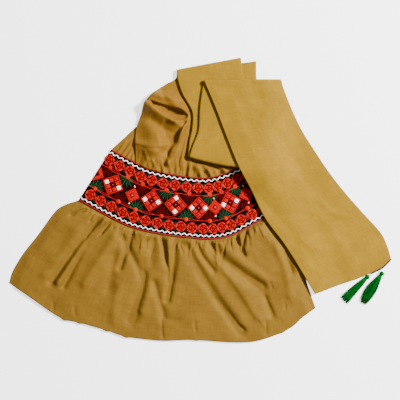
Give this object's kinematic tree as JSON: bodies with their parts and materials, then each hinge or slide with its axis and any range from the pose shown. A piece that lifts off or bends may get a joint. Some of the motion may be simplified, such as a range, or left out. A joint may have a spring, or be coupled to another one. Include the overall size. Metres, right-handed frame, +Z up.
{
  "type": "folded embroidered shawl",
  "caption": "Long shawl laid flat and folded back and forth, with a gathered ruffle, a curved embroidered band, wave braid, piping, an end cord and tassels.",
  "frame": {"origin": "centre of the outline's bounding box, on the surface that the shawl lies on", "axes": "+Z up off the surface; seen from above, +X to the right towards the tassels and +Y away, towards the upper folds"},
  "size_m": [0.9551, 0.7102, 0.0311],
  "materials": {
    "cloth": "satin weave, mustard yellow",
    "embroidered_ground": "black ground covered with red, white and green stitching",
    "braid": "matte white woven braid",
    "piping": "matte red",
    "cord": "matte black",
    "tassel_thread": "silky green thread"
  },
  "bodies": {
    "root": {"shawl_body": "cloth", "ruffle": "cloth", "embroidered_band": "embroidered_ground", "ricrac_upper": "braid", "ricrac_lower": "braid", "piping_upper": "piping", "piping_lower": "piping", "end_cord": "cord", "tassel_left": "tassel_thread", "tassel_right": "tassel_thread"}
  },
  "joints": []
}
